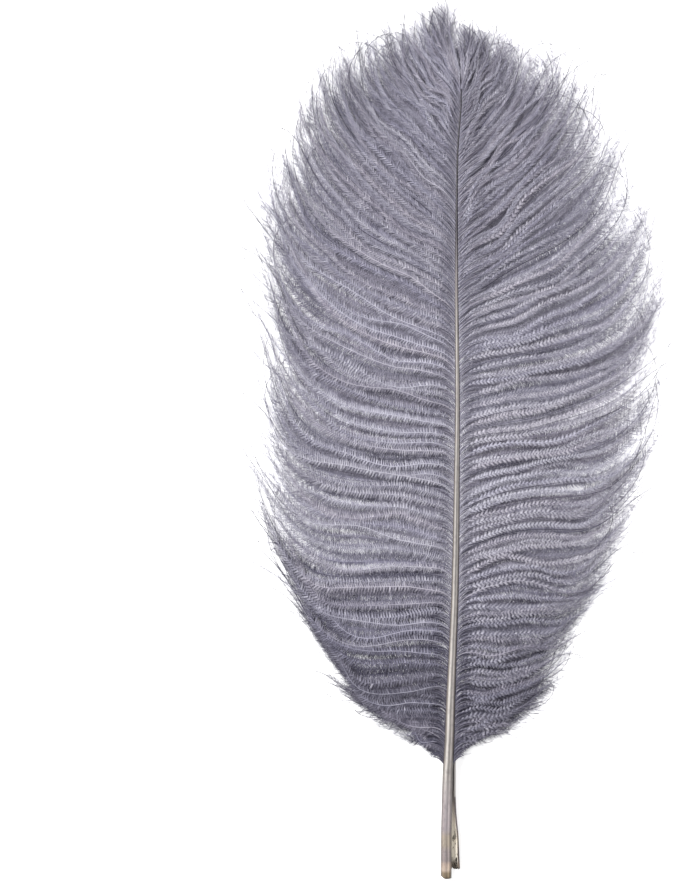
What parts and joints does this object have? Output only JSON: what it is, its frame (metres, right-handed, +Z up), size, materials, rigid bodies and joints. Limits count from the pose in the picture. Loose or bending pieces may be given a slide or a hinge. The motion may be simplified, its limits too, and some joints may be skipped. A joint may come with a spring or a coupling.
{
  "type": "ostrich feather",
  "caption": "Soft lavender-grey ostrich plume lying flat, with a bowed shaft, drooping feathery sides and a hollow quill split lengthwise at its cut end.",
  "frame": {"origin": "middle of the plume's outline, on the surface it lies on", "axes": "+Y from the quill's cut end to the plume's tip, +X to the right seen from above, +Z up off the surface"},
  "size_m": [0.2139, 0.44, 0.0123],
  "materials": {
    "horn": "satin grown keratin, grey-beige, with a pale cream and brown cut end",
    "barbs": "soft matte dyed lavender-grey down"
  },
  "bodies": {
    "root": {"shaft": "horn", "left_vane": "barbs", "right_vane": "barbs"}
  },
  "joints": []
}
